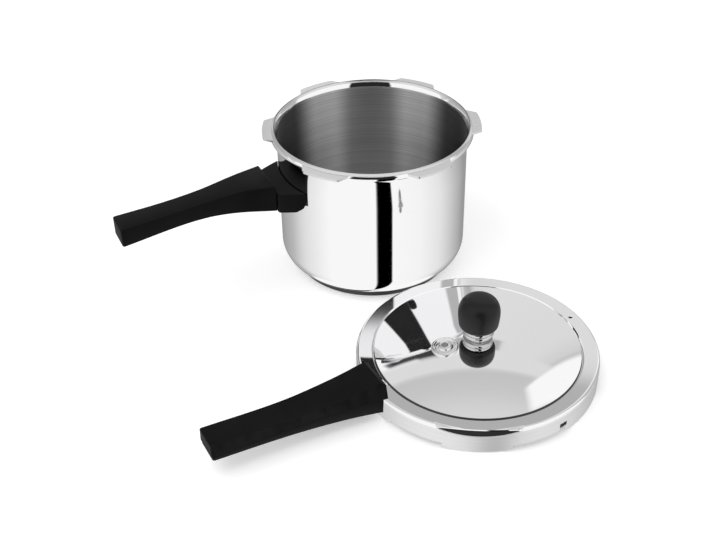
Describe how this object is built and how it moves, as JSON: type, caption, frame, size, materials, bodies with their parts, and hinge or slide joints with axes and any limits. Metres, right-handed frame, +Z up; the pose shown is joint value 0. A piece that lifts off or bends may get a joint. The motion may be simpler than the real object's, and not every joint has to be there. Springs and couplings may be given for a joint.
{
  "type": "pressure cooker",
  "caption": "Steel pressure cooker with a lugged rim and a long black side handle; the domed twist-on lid, with vent weight, safety valve and its own handle, lies in front.",
  "frame": {"origin": "centre of the pot's base, on the table", "axes": "+Z up along the pot's axis, +Y away from the viewer of the picture, +X to the viewer's right"},
  "size_m": [0.4337, 0.4202, 0.1485],
  "materials": {
    "polished_steel": "mirror polished outside, brushed round and round inside the pot",
    "plain_steel": "satin steel",
    "aluminium_core": "plain rolled",
    "black_moulding": "black phenolic moulding with a soft sheen",
    "black_rubber": "matt black rubber",
    "soft_alloy": "dull grey fusible alloy"
  },
  "bodies": {
    "pot": {"pot_shell": "polished_steel", "base_core": "aluminium_core", "base_cap": "plain_steel", "pot_handle_bracket": "plain_steel", "pot_handle_guard": "black_moulding", "pot_handle_grip": "black_moulding", "pot_handle_screw_inner": "plain_steel", "pot_handle_screw_outer": "plain_steel"},
    "seal": {"sealing_ring": "black_rubber"},
    "lid": {"lid_shell": "polished_steel", "vent_tube": "plain_steel", "vent_washer": "black_rubber", "vent_nut": "plain_steel", "safety_valve_body": "plain_steel", "safety_valve_plug": "soft_alloy", "safety_valve_washer": "black_rubber", "safety_valve_nut": "plain_steel", "lid_handle_bracket": "plain_steel", "lid_handle_upper": "black_moulding", "lid_handle_lower": "black_moulding", "lid_handle_screw_inner": "plain_steel", "lid_handle_screw_outer": "plain_steel"},
    "weight": {"weight_body": "plain_steel", "weight_seat": "plain_steel", "weight_cap": "black_moulding"}
  },
  "joints": [
    {"name": "lid_lift", "type": "slide", "parent": "pot", "child": "seal", "axis": [0.0739, -0.1571, 0.9848], "range_m": [0, 0.2]},
    {"name": "lid_twist", "type": "hinge", "parent": "seal", "child": "lid", "pos_m": [0.08873, -0.18857, 0], "axis": [0, 0, 1], "range_deg": [-48, 0]},
    {"name": "weight_lift", "type": "slide", "parent": "lid", "child": "weight", "axis": [0, 0, 1], "range_m": [0, 0.035]}
  ]
}
